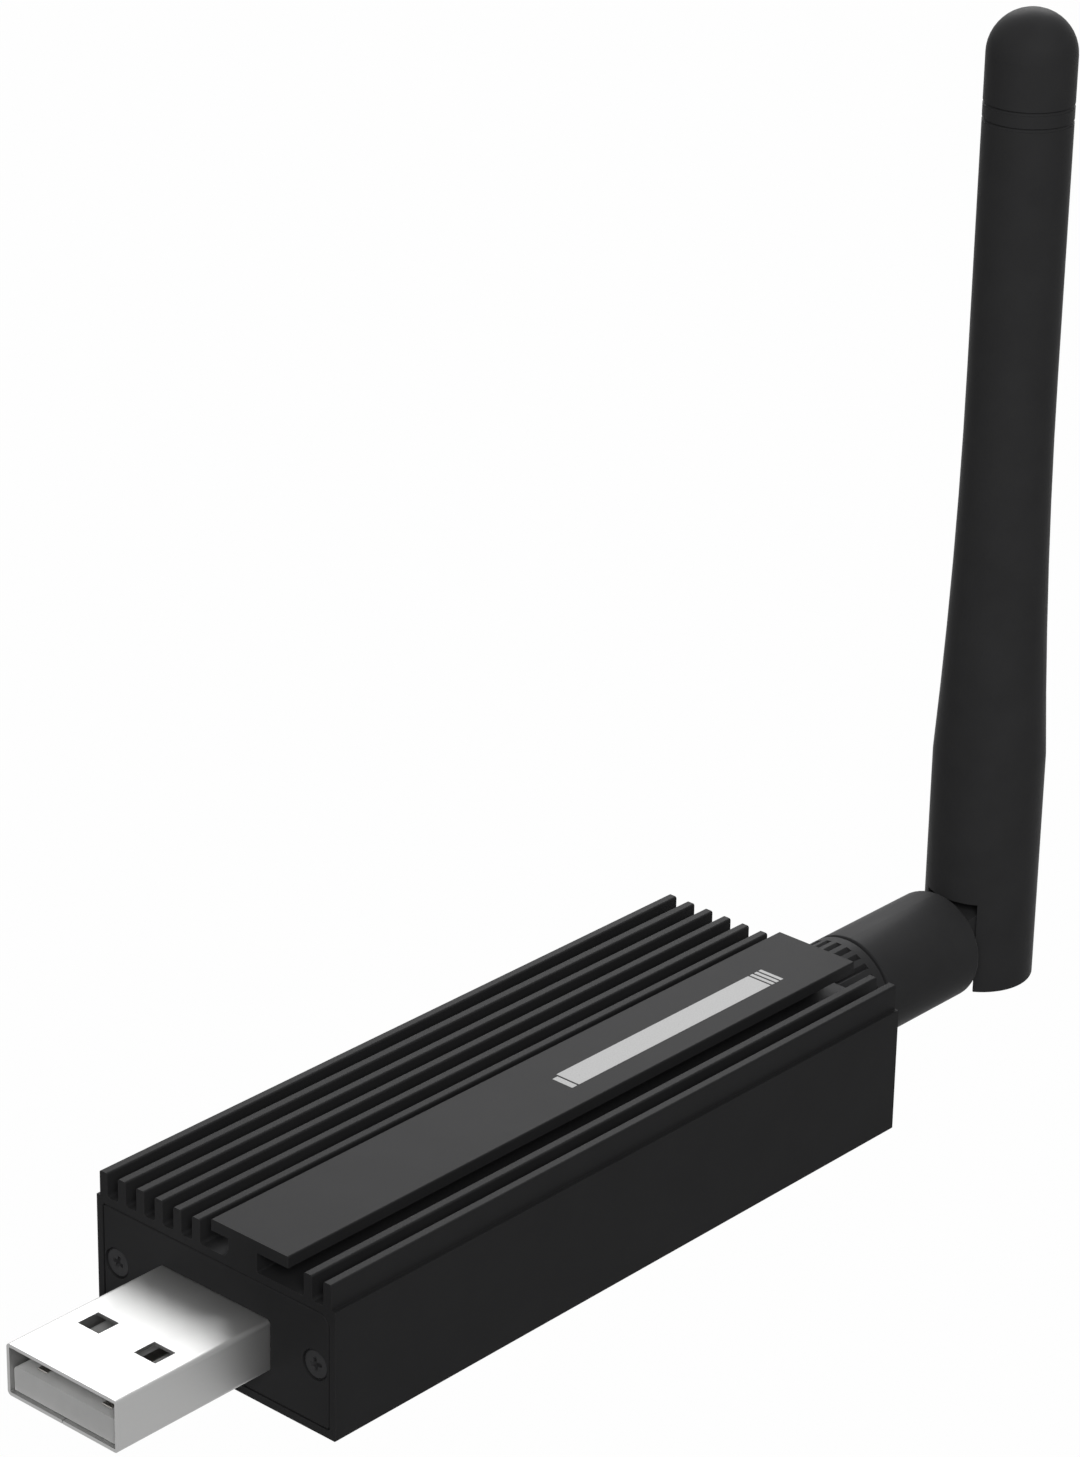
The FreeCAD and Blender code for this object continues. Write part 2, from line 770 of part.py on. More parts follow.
def make_coupling_nut():
    """Inner nut of the aerial: bored for the jack's thread, with a rear wall that traps the plug flange."""
    wall_start = plug_flange_end + running_clearance
    thread_radius = jack_barrel_radius + coupling_thread_clearance
    corners = [(collar_start, thread_radius, 0), (wall_start, thread_radius, 0)]
    corners += [(wall_start, plug_tail_radius + running_clearance, 0)]
    corners += [(coupling_end, plug_tail_radius + running_clearance, 0), (coupling_end, coupling_radius, 0)]
    corners += [(collar_start, coupling_radius, 0)]
    return turned_x(corners, 0, aerial_axis_height)


def make_grip_collar():
    """Moulded grip over the coupling nut: axial grooves, then a plain ring at the rear."""
    bore = coupling_radius + fit_clearance
    lip = plug_tail_radius + 2 * running_clearance
    inner_wall = collar_end - collar_rear_wall
    corners = [(collar_start, bore, 0), (inner_wall, bore, 0), (inner_wall, lip, 0), (collar_end, lip, 0)]
    corners += [(collar_end, collar_radius - collar_edge_chamfer, 0)]
    corners += [(collar_end - collar_edge_chamfer, collar_radius, 0)]
    corners += [(collar_start + collar_edge_chamfer, collar_radius, 0)]
    corners += [(collar_start, collar_radius - collar_edge_chamfer, 0)]
    collar = turned_x(corners, 0, aerial_axis_height)
    groove_end = collar_end - groove_end_margin
    top = aerial_axis_height + collar_radius
    section = [(-groove_width / 2, top, 0), (0, top - groove_depth, 0), (groove_width / 2, top, 0)]
    section += [(groove_width / 2, top + cut_margin, 0), (-groove_width / 2, top + cut_margin, 0)]
    grooves = []
    for index in range(groove_count):
        groove = prism_along_x(section, collar_start - cut_margin, groove_end)
        groove.rotate(Vector(0, 0, aerial_axis_height), Vector(1, 0, 0), 360 * index / groove_count)
        grooves.append(groove)
    return collar.cut(grooves)


def make_plug_body():
    """Turned plug of the aerial: contact ring, trapped flange, and tail with the sleeve's holding bead."""
    ring_start = jack_end - plug_ring_length
    bead_end = plug_tail_end - plug_bead_setback
    bead_start = bead_end - plug_bead_width
    ring_bore = plug_ring_radius - plug_ring_wall
    bore_end = ring_start + plug_insulator_length + fit_clearance
    corners = [(ring_start, ring_bore, 0), (ring_start, plug_ring_radius, 0), (jack_end, plug_ring_radius, 0)]
    corners += [(jack_end, plug_flange_radius, 0), (plug_flange_end, plug_flange_radius, 0)]
    corners += [(plug_flange_end, plug_tail_radius, 0), (bead_start, plug_tail_radius, 0)]
    corners += [(bead_start, plug_bead_radius, plug_bead_front_radius)]
    corners += [(bead_end, plug_bead_radius, plug_bead_rear_radius)]
    corners += [(bead_end, plug_tail_radius, 0), (plug_tail_end, plug_tail_radius, 0)]
    corners += [(plug_tail_end, cable_bore_radius, 0), (bore_end, cable_bore_radius, 0)]
    corners += [(bore_end, ring_bore, 0)]
    return turned_x(corners, 0, aerial_axis_height)


def make_antenna_sleeve():
    """Swivel sleeve: bored for the plug's tail, with the rounded hinge tongue and its two trunnions."""
    axis_z = aerial_axis_height
    bore = plug_tail_radius + running_clearance
    bead_bore = plug_bead_radius + running_clearance
    bead_end = plug_tail_end - plug_bead_setback + running_clearance
    bead_start = bead_end - plug_bead_width - 2 * running_clearance
    bore_end = plug_tail_end + running_clearance
    corners = [(sleeve_start, bore, 0), (sleeve_start, sleeve_radius, collar_edge_chamfer)]
    corners += [(shoulder_x, sleeve_radius, sleeve_edge_radius), (shoulder_x, 0, 0)]
    corners += [(bore_end, 0, 0), (bore_end, bore, 0), (bead_end, bore, 0), (bead_end, bead_bore, 0)]
    corners += [(bead_start, bead_bore, 0), (bead_start, bore, 0)]
    sleeve = turned_x(corners, 0, axis_z)
    half = tongue_plate_thickness / 2
    radius = tongue_plate_radius
    # The tongue is rooted a little way inside the sleeve so that the two are one moulding.
    tongue_start = shoulder_x - sleeve_edge_radius
    plate = box((tongue_start, hinge_x), (-half, half), (axis_z - radius, axis_z + radius))
    nose = Part.makeCylinder(radius, 2 * half, Vector(hinge_x, -half, axis_z), Vector(0, 1, 0))
    reach = half + trunnion_reach
    pivots = Part.makeCylinder(trunnion_radius, 2 * reach, Vector(hinge_x, -reach, axis_z), Vector(0, 1, 0))
    sleeve = sleeve.fuse([plate, nose, pivots]).removeSplitter()
    cable_bore = rod_x((bore_end - cut_margin, hinge_x), cable_bore_radius)
    # The cable swings from upright to level in this slot as the whip tilts.
    swing = cable_bore_radius
    swing_x = (hinge_x - swing, hinge_x + radius + cut_margin)
    slot = box(swing_x, (-swing, swing), (axis_z - swing, axis_z + radius + cut_margin))
    return sleeve.cut([cable_bore, slot])


def whip_outline():
    """Edges of the whip's half section, from the bottom up to the round tip and back down its axis."""
    def at(radius, height):
        return Vector(hinge_x + radius, 0, height)

    edge = whip_edge_radius
    corner = edge * (1 - math.sqrt(0.5))
    drop = whip_low_radius - whip_top_radius
    rise = whip_neck_end - whip_neck_start
    neck_radius = (rise ** 2 + drop ** 2) / (2 * drop)
    middle = (whip_neck_start + whip_neck_end) / 2
    neck_middle = whip_top_radius + neck_radius - math.sqrt(neck_radius ** 2 - (whip_neck_end - middle) ** 2)
    dome_side = whip_top_radius * math.sqrt(0.5)
    tip = whip_dome_height + whip_top_radius
    edges = [Part.LineSegment(at(0, whip_bottom), at(whip_low_radius - edge, whip_bottom)).toShape()]
    round_middle = at(whip_low_radius - corner, whip_bottom + corner)
    round_end = at(whip_low_radius, whip_bottom + edge)
    edges.append(Part.Arc(at(whip_low_radius - edge, whip_bottom), round_middle, round_end).toShape())
    neck_start = at(whip_low_radius, whip_neck_start)
    edges.append(Part.LineSegment(round_end, neck_start).toShape())
    neck_end = at(whip_top_radius, whip_neck_end)
    edges.append(Part.Arc(neck_start, at(neck_middle, middle), neck_end).toShape())
    last = neck_end
    for height in (ring_groove_low, ring_groove_low + ring_groove_spacing):
        low = at(whip_top_radius, height - ring_groove_width / 2)
        high = at(whip_top_radius, height + ring_groove_width / 2)
        edges.append(Part.LineSegment(last, low).toShape())
        edges.append(Part.Arc(low, at(whip_top_radius - ring_groove_depth, height), high).toShape())
        last = high
    dome_start = at(whip_top_radius, whip_dome_height)
    edges.append(Part.LineSegment(last, dome_start).toShape())
    dome_end = at(0, tip)
    edges.append(Part.Arc(dome_start, at(dome_side, whip_dome_height + dome_side), dome_end).toShape())
    edges.append(Part.LineSegment(dome_end, at(0, whip_bottom)).toShape())
    return Part.Wire(edges)


def make_whip():
    """Whip moulding: fork round the sleeve's tongue, tapering neck, hollow rod and domed tip."""
    axis_z = aerial_axis_height
    whip = Part.Face(whip_outline()).revolve(Vector(hinge_x, 0, 0), Vector(0, 0, 1), 360)
    # The slot is open towards the sleeve and below; a closed back stops the whip when it lies in line.
    slot_x = (hinge_x - whip_low_radius - cut_margin, hinge_x + tongue_plate_radius + fork_back_clearance)
    slot = box(slot_x, (-fork_half, fork_half), (whip_bottom - cut_margin, fork_roof))
    pivot_reach = tongue_plate_thickness / 2 + trunnion_reach + fork_slot_clearance
    pivot_radius = trunnion_radius + running_clearance
    pivot_start = Vector(hinge_x, -pivot_reach, axis_z)
    pivots = Part.makeCylinder(pivot_radius, 2 * pivot_reach, pivot_start, Vector(0, 1, 0))
    cable_z = (fork_roof - cut_margin, whip_cavity_start + cut_margin)
    cable = turned_z(rectangle(cable_z, (0, cable_bore_radius), 0), hinge_x, 0)
    top_taper = whip_cavity_end + whip_cavity_radius / 2
    cavity = [(whip_cavity_start, 0, 0), (whip_cavity_start, whip_cavity_radius, 0)]
    cavity += [(whip_cavity_end, whip_cavity_radius, 0), (top_taper, whip_cavity_radius / 2, 0)]
    cavity += [(top_taper, 0, 0)]
    return whip.cut([slot, pivots, cable, turned_z(cavity, hinge_x, 0)])


def make_radiator_tube():
    """Lower half of the dipole: a brass tube, closed at the top round the cable that feeds it."""
    outer = whip_cavity_radius - radiator_tube_clearance
    inner = outer - radiator_tube_wall
    top = whip_cavity_start + radiator_tube_length
    bore = cable_radius + fit_clearance
    corners = [(whip_cavity_start, inner, 0), (whip_cavity_start, outer, 0)]
    corners += [(top, outer, radiator_tube_edge_radius), (top, bore, 0)]
    corners += [(top - radiator_tube_wall, bore, 0), (top - radiator_tube_wall, inner, 0)]
    return turned_z(corners, hinge_x, 0)


nodes = {}
nodes["housing"] = make_housing()

opening_end = front_x + panel_thickness + cut_margin
plug_opening = prism_along_x(plug_outline(opening_clearance), front_x - cut_margin, opening_end)
nodes["front_panel"] = make_panel(front_x, 1, plug_opening)
barrel_span = (panel_inside - cut_margin, rear_x + cut_margin)
barrel_opening = rod_x(barrel_span, jack_barrel_radius + jack_hole_clearance)
nodes["rear_panel"] = make_panel(rear_x, -1, barrel_opening)
nodes["front_panel_screws"] = make_screws(front_x, 1, front_screw_turns)
nodes["rear_panel_screws"] = make_screws(rear_x, -1, rear_screw_turns)

nodes["usb_shell"] = make_usb_shell()
nodes["usb_insulator"] = make_usb_insulator()
for number, (contact_place, contact_start) in enumerate(contact_stations(), start=1):
    nodes["usb_contact_%d" % number] = make_usb_contact(contact_place, contact_start)

nodes["circuit_board"] = make_board()
nodes["usb_bridge_chip"] = make_chip(bridge_chip_forward, bridge_chip_sideways, bridge_chip_size)
nodes["radio_chip"] = make_chip(radio_chip_forward, 0, radio_chip_size)
nodes["voltage_regulator"] = make_regulator(bridge_chip_forward, regulator_side_distance - board_half)
crystal_place = (crystal_forward, crystal_sideways)
nodes["radio_crystal"] = on_board(*crystal_place, crystal_length, crystal_width, crystal_height)
clock_place = (crystal_forward, -crystal_sideways)
nodes["clock_crystal"] = on_board(*clock_place, clock_crystal_length, clock_crystal_width, crystal_height)
nodes["usb_status_led"] = on_board(led_forward, led_sideways, led_length, led_width, led_height)
nodes["radio_status_led"] = on_board(led_forward, -led_sideways, led_length, led_width, led_height)
capacitors = make_row(front_capacitor_forward, front_capacitor_count, capacitor_pitch, capacitor_height)
capacitors += make_row(rear_capacitor_forward, rear_capacitor_count, capacitor_pitch, capacitor_height)
nodes["board_capacitors"] = Part.makeCompound(capacitors)
resistors = make_row(front_resistor_forward, front_resistor_count, resistor_pitch, resistor_height)
resistors += make_row(rear_resistor_forward, rear_resistor_count, resistor_pitch, resistor_height)
nodes["board_resistors"] = Part.makeCompound(resistors)
for name, sideways in (("boot", switch_sideways), ("reset", -switch_sideways)):
    nodes["%s_switch_base" % name] = make_switch_base(switch_forward, sideways)
    nodes["%s_switch_plunger" % name] = make_plunger(switch_forward, sideways)

nodes["jack_body"] = make_jack_body()
jack_core = (board_rear, jack_end - jack_mouth_depth)
nodes["jack_insulator"] = tube_x(jack_core, jack_contact_radius + fit_clearance, jack_insulator_radius)
nodes["jack_contact"] = make_jack_contact()
washer_span = (rear_x, rear_x + washer_thickness)
nodes["jack_washer"] = tube_x(washer_span, jack_barrel_radius + fit_clearance, washer_radius)
nodes["jack_nut"] = make_jack_nut()

nodes["antenna_coupling_nut"] = make_coupling_nut()
nodes["antenna_grip_collar"] = make_grip_collar()
nodes["antenna_plug_body"] = make_plug_body()
insulator_start = jack_end - plug_ring_length
insulator_span = (insulator_start, insulator_start + plug_insulator_length)
insulator_radius = plug_ring_radius - plug_ring_wall - fit_clearance
nodes["antenna_plug_insulator"] = tube_x(insulator_span, plug_pin_radius + fit_clearance, insulator_radius)
pin_start = jack_end - jack_mouth_depth - plug_pin_reach
pin_end = insulator_span[1] + fit_clearance
nodes["antenna_plug_pin"] = rod_x((pin_start, pin_end), plug_pin_radius)

nodes["antenna_sleeve"] = make_antenna_sleeve()
nodes["sleeve_cable"] = rod_x((pin_end + fit_clearance, hinge_x - hinge_cable_gap), cable_radius)
nodes["antenna_whip"] = make_whip()
cable_top = whip_cavity_start + radiator_tube_length
cable_span = (aerial_axis_height + hinge_cable_gap, cable_top)
nodes["whip_cable"] = turned_z(rectangle(cable_span, (0, cable_radius), 0), hinge_x, 0)
nodes["radiator_tube"] = make_radiator_tube()
wire_span = (cable_top, cable_top + radiator_wire_length)
nodes["radiator_wire"] = turned_z(rectangle(wire_span, (0, radiator_wire_radius), 0), hinge_x, 0)

os.makedirs("parts", exist_ok=True)
for name, shape in nodes.items():
    shape.exportStep("parts/%s.step" % name)
    print(name, "solids", len(shape.Solids), "volume", round(shape.Volume, 2), "valid", shape.isValid())
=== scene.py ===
"""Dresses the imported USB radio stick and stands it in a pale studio.

Each sub-assembly of the stick is a class that holds its own sizes and dresses
its own nodes. Everything is in metres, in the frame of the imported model: +X
runs from the plug to the aerial, +Y is the side with six fins and +Z is up.
"""

import logging
import math
from dataclasses import dataclass
from enum import Enum
from functools import cached_property
from typing import Dict, Iterable, List, Optional, Sequence, Tuple, Union

import bmesh
import bpy
from mathutils import Matrix, Vector


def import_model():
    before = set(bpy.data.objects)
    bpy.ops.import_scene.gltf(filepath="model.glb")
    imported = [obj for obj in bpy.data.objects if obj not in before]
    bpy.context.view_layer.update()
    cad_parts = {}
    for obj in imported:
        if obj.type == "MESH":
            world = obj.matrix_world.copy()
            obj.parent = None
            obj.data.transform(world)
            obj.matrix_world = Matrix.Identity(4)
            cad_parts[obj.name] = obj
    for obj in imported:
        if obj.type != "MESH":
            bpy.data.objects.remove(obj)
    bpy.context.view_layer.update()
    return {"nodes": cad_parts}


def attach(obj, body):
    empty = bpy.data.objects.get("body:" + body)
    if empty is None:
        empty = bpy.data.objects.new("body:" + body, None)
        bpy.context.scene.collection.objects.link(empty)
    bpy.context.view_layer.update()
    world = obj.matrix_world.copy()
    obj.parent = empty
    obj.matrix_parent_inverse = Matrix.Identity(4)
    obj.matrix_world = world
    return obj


LOG = logging.getLogger("radio_stick")
MM = 0.001
STICK_BODY = "stick"

WHITE = (1.0, 1.0, 1.0, 1.0)
# Most values of a noise pattern lie in this part of its range.
NOISE_BULK = (0.3, 0.7)
# Places of the two colours and of the result among a mix node's sockets.
MIX_FIRST, MIX_SECOND, MIX_RESULT = 6, 7, 2
EDGE_SAMPLES = 6
# How alike the rounded and the true normal are on an edge and on an open face.
EDGE_LIKENESS = (0.80, 0.995)

Colour = Tuple[float, float, float]
Point = Tuple[float, float, float]
Range = Tuple[float, float]
Spot = Tuple[float, float]
Socket = bpy.types.NodeSocket
Level = Union[float, Socket]


class Axis(Enum):
    """Directions that drawn marks follow."""

    X = (1.0, 0.0, 0.0)
    Y = (0.0, 1.0, 0.0)
    Z = (0.0, 0.0, 1.0)


class NodeDesk:
    """One material's node tree, with short ways to add nodes and join them."""

    def __init__(self, name: str) -> None:
        """Start an empty material.

        Args:
            name: The material's name.
        """
        self.material = bpy.data.materials.new(name)
        self.material.use_nodes = True
        self.tree = self.material.node_tree
        self.tree.nodes.clear()
        self.output = self.tree.nodes.new("ShaderNodeOutputMaterial")
        self.shader = self.tree.nodes.new("ShaderNodeBsdfPrincipled")
        self.tree.links.new(self.shader.outputs["BSDF"], self.output.inputs["Surface"])

    @cached_property
    def place(self) -> Socket:
        """Return the surface point's output, in metres, made at its first use."""
        return self.add("ShaderNodeTexCoord").outputs["Object"]

    def add(self, kind: str, **settings: object) -> bpy.types.Node:
        """Add a node.

        Args:
            kind: The node's type.
            **settings: Its own settings by name.

        Returns:
            The new node.
        """
        node = self.tree.nodes.new(kind)
        for key, value in settings.items():
            setattr(node, key, value)
        return node

    def feed(self, socket: Socket, value: object) -> None:
        """Give an input a constant or join it to another node's output.

        Args:
            socket: The input.
            value: A number, a tuple or an output socket.
        """
        if isinstance(value, bpy.types.NodeSocket):
            self.tree.links.new(value, socket)
        else:
            socket.default_value = value

    def paint(self, **values: object) -> None:
        """Give the shader's inputs their values.

        Args:
            **values: Numbers, colours or outputs by the input's name, with
                underscores for its spaces.
        """
        for key, value in values.items():
            self.feed(self.shader.inputs[key.replace("_", " ")], value)

    def work_out(self, operation: str, first: Level, second: Level = 0.0,
                 clamp: bool = False) -> Socket:
        """Work out one number from two.

        Args:
            operation: The name of the operation.
            first: The first number or output.
            second: The second number or output.
            clamp: Whether to keep the result between 0 and 1.

        Returns:
            The result's output.
        """
        node = self.add("ShaderNodeMath", operation=operation, use_clamp=clamp)
        self.feed(node.inputs[0], first)
        self.feed(node.inputs[1], second)
        return node.outputs[0]

    def axes(self) -> Tuple[Socket, Socket, Socket]:
        """Return the surface point's X, Y and Z outputs, in metres."""
        node = self.add("ShaderNodeSeparateXYZ")
        self.feed(node.inputs[0], self.place)
        return node.outputs[0], node.outputs[1], node.outputs[2]

    def stretched(self, stretch: Point) -> Socket:
        """Return the surface point with each axis multiplied.

        Args:
            stretch: Factor for each axis; a small one draws marks out along it.

        Returns:
            The stretched point's output.
        """
        node = self.add("ShaderNodeVectorMath", operation="MULTIPLY")
        self.feed(node.inputs[0], self.place)
        node.inputs[1].default_value = stretch
        return node.outputs[0]

    def noise(self, size_mm: float, layers: float = 2.0,
              point: Optional[Socket] = None) -> Socket:
        """Add a noise pattern.

        Args:
            size_mm: How large its spots are, in millimetres.
            layers: How many finer layers it has.
            point: Where to read it, or the surface point if left out.

        Returns:
            The pattern's output, from 0 to 1.
        """
        node = self.add("ShaderNodeTexNoise")
        self.feed(node.inputs["Vector"], self.place if point is None else point)
        node.inputs["Scale"].default_value = 1.0 / (size_mm * MM)
        node.inputs["Detail"].default_value = layers
        return node.outputs["Fac"]

    def spread(self, value: Socket, low: float, high: float,
               start: float = 0.0, end: float = 1.0) -> Socket:
        """Carry a pattern's range over to another range.

        Args:
            value: The pattern.
            low: The result at the range's start.
            high: The result at the range's end.
            start: Where the pattern's range starts.
            end: Where it ends.

        Returns:
            The result's output.
        """
        node = self.add("ShaderNodeMapRange")
        self.feed(node.inputs["Value"], value)
        node.inputs["From Min"].default_value = start
        node.inputs["From Max"].default_value = end
        node.inputs["To Min"].default_value = low
        node.inputs["To Max"].default_value = high
        return node.outputs["Result"]

    def blend(self, factor: Level, first: object, second: object) -> Socket:
        """Mix two colours.

        Args:
            factor: 0 for the first, 1 for the second.
            first: A colour or output.
            second: A colour or output.

        Returns:
            The mixed colour's output.
        """
        node = self.add("ShaderNodeMix", data_type="RGBA")
        self.feed(node.inputs["Factor"], factor)
        for place, value in ((MIX_FIRST, first), (MIX_SECOND, second)):
            joined = isinstance(value, bpy.types.NodeSocket)
            self.feed(node.inputs[place], value if joined else (*value, 1.0))
        return node.outputs[MIX_RESULT]

    def raise_surface(self, height: Socket, depth_mm: float, strength: float,
                      under: Optional[Socket] = None) -> Socket:
        """Turn a height pattern into a bump.

        Args:
            height: The pattern.
            depth_mm: What a height of 1 stands for, in millimetres.
            strength: How far the bump counts, from 0 to 1.
            under: A bump that lies under this one.

        Returns:
            The normal's output.
        """
        node = self.add("ShaderNodeBump")
        node.inputs["Strength"].default_value = strength
        node.inputs["Distance"].default_value = depth_mm * MM
        self.feed(node.inputs["Height"], height)
        if under is not None:
            self.feed(node.inputs["Normal"], under)
        return node.outputs["Normal"]

    def edge_mask(self, radius_mm: float) -> Socket:
        """Find the edges of a solid.

        Args:
            radius_mm: How far from an edge the mask reaches, in millimetres.

        Returns:
            An output that is 1 on edges and 0 on open faces.
        """
        bevel = self.add("ShaderNodeBevel", samples=EDGE_SAMPLES)
        bevel.inputs["Radius"].default_value = radius_mm * MM
        geometry = self.add("ShaderNodeNewGeometry")
        dot = self.add("ShaderNodeVectorMath", operation="DOT_PRODUCT")
        self.feed(dot.inputs[0], bevel.outputs[0])
        self.feed(dot.inputs[1], geometry.outputs["Normal"])
        return self.spread(dot.outputs["Value"], 1.0, 0.0, *EDGE_LIKENESS)


@dataclass(frozen=True)
class EdgeWearAndHighlight:
    """Paler edges, partly wear and partly a painted highlight: how far they reach, how large their
    patches are and how pale.
    """

    radius_mm: float
    patch_mm: float
    share: Range
    lift: float


@dataclass(frozen=True)
class Finish:
    """A surface finish: its name, base colour and how it takes the light."""

    name: str
    colour: Colour
    roughness: float
    specular: float = 0.5
    metallic: float = 0.0
    coat: float = 0.0

    def material(self) -> bpy.types.Material:
        """Return the finish's material, made at its first use."""
        ready = bpy.data.materials.get(self.name)
        if ready is not None:
            return ready
        desk = NodeDesk(self.name)
        desk.paint(Base_Color=(*self.colour, 1.0), Roughness=self.roughness,
                   Specular_IOR_Level=self.specular, Metallic=self.metallic,
                   Coat_Weight=self.coat)
        self.detail(desk)
        return desk.material

    def detail(self, desk: NodeDesk) -> None:
        """Add the finish's own patterns.

        Args:
            desk: The material's node tree.
        """
        raise NotImplementedError

    def shade(self, factor: float) -> Colour:
        """Return the base colour made lighter or darker.

        Args:
            factor: What each channel is multiplied by.

        Returns:
            The colour, with no channel over 1.
        """
        return tuple(min(1.0, channel * factor) for channel in self.colour)

    def cloud(self, desk: NodeDesk, size_mm: float, depth: float) -> Socket:
        """Vary the base colour in soft patches.

        Args:
            desk: The material's node tree.
            size_mm: How large the patches are, in millimetres.
            depth: How far they depart from the base colour.

        Returns:
            The colour's output.
        """
        patches = desk.spread(desk.noise(size_mm, layers=3.0), 0.0, 1.0, *NOISE_BULK)
        return desk.blend(patches, self.shade(1.0 - depth), self.shade(1.0 + depth))

    def worn_and_highlit(self, desk: NodeDesk, colour: Socket, edge_wear_and_highlight: EdgeWearAndHighlight) -> Socket:
        """Make a colour paler on the edges, as wear and as a painted highlight.

        Args:
            desk: The material's node tree.
            colour: The colour of the open faces.
            edge_wear_and_highlight: How the edges are worn and how strong their painted highlight
                is.

        Returns:
            The colour's output.
        """
        # Paler edges: partly wear, partly a painted highlight along them.
        patches = desk.spread(desk.noise(edge_wear_and_highlight.patch_mm), *edge_wear_and_highlight.share)
        edge = desk.work_out("MULTIPLY", desk.edge_mask(edge_wear_and_highlight.radius_mm), patches)
        return desk.blend(edge, colour, self.shade(edge_wear_and_highlight.lift))

    def uneven(self, desk: NodeDesk, pattern: Socket, change: Range,
               bulk: Range = NOISE_BULK) -> Socket:
        """Vary the roughness with a pattern.

        Args:
            desk: The material's node tree.
            pattern: The pattern.
            change: What the roughness gains where the pattern is low and high.
            bulk: The part of the pattern's range that counts.

        Returns:
            The roughness's output.
        """
        low, high = (self.roughness + gain for gain in change)
        return desk.spread(pattern, low, high, *bulk)


@dataclass(frozen=True)
class BlastedAnodising(Finish):
    """Black anodised aluminium, bead blasted, with faint drawing lines along it."""

    grain_mm: float = 0.09
    grain_depth_mm: float = 0.006
    line_mm: float = 0.16
    line_depth_mm: float = 0.004
    line_stretch: float = 0.012
    cloud_mm: float = 5.0
    cloud_depth: float = 0.05
    speck_share: float = 0.35
    speck_range: Range = (0.55, 0.85)
    speck_lift: float = 1.5
    # The paler edges are partly wear and partly a painted highlight.
    edge_wear_and_highlight: EdgeWearAndHighlight = EdgeWearAndHighlight(radius_mm=0.16, patch_mm=1.4, share=(0.25, 0.9), lift=1.5)
    rough_change: Range = (-0.06, 0.08)
    rough_range: Range = (0.25, 0.75)

    def detail(self, desk: NodeDesk) -> None:
        """Add blasted grain, drawing lines and paler edges, which stand for wear and a painted
        highlight.

        Args:
            desk: The material's node tree.
        """
        grain = desk.noise(self.grain_mm, layers=3.0)
        drawn_out = desk.stretched((self.line_stretch, 1.0, 1.0))
        lines = desk.noise(self.line_mm, point=drawn_out)
        normal = desk.raise_surface(lines, self.line_depth_mm, strength=0.5)
        normal = desk.raise_surface(grain, self.grain_depth_mm, strength=0.6, under=normal)
        colour = self.cloud(desk, self.cloud_mm, self.cloud_depth)
        speck = desk.spread(grain, 0.0, self.speck_share, *self.speck_range)
        colour = desk.blend(speck, colour, self.shade(self.speck_lift))
        desk.paint(Normal=normal, Base_Color=self.worn_and_highlit(desk, colour, self.edge_wear_and_highlight),
                   Roughness=self.uneven(desk, grain, self.rough_change, self.rough_range))


@dataclass(frozen=True)
class DrawnMetal(Finish):
    """Rolled or drawn metal: fine lines along one axis and light rub marks."""

    along: Axis = Axis.X
    line_mm: float = 0.05
    line_depth_mm: float = 0.002
    line_stretch: float = 0.02
    line_change: float = 0.04
    tone_per_change: float = 1.5
    rub_mm: float = 1.2
    rub_stretch: float = 0.25
    rub_depth: float = 0.10
    rub_range: Range = (0.5, 0.75)
    anisotropy: float = 0.35

    def drawn_out(self, stretch: float) -> Point:
        """Return the factors that draw a pattern out along the metal's lines.

        Args:
            stretch: The factor along the lines.

        Returns:
            The factor for each axis.
        """
        return tuple(stretch if part else 1.0 for part in self.along.value)

    def detail(self, desk: NodeDesk) -> None:
        """Add drawn lines, rub marks and a slight change of tone.

        Args:
            desk: The material's node tree.
        """
        lines = desk.noise(self.line_mm, point=desk.stretched(self.drawn_out(self.line_stretch)))
        rubs = desk.noise(self.rub_mm, layers=4.0,
                          point=desk.stretched(self.drawn_out(self.rub_stretch)))
        normal = desk.raise_surface(lines, self.line_depth_mm, strength=0.35)
        lined = self.uneven(desk, lines, (-self.line_change, self.line_change))
        rubbed = desk.spread(rubs, 0.0, self.rub_depth, *self.rub_range)
        rough = desk.work_out("ADD", lined, rubbed, clamp=True)
        dark = self.shade(1.0 - self.tone_per_change * self.line_change)
        light = self.shade(1.0 + self.tone_per_change * self.line_change)
        tone = desk.blend(desk.spread(lines, 0.0, 1.0, *NOISE_BULK), dark, light)
        desk.paint(Normal=normal, Roughness=rough, Base_Color=tone, Anisotropic=self.anisotropy)


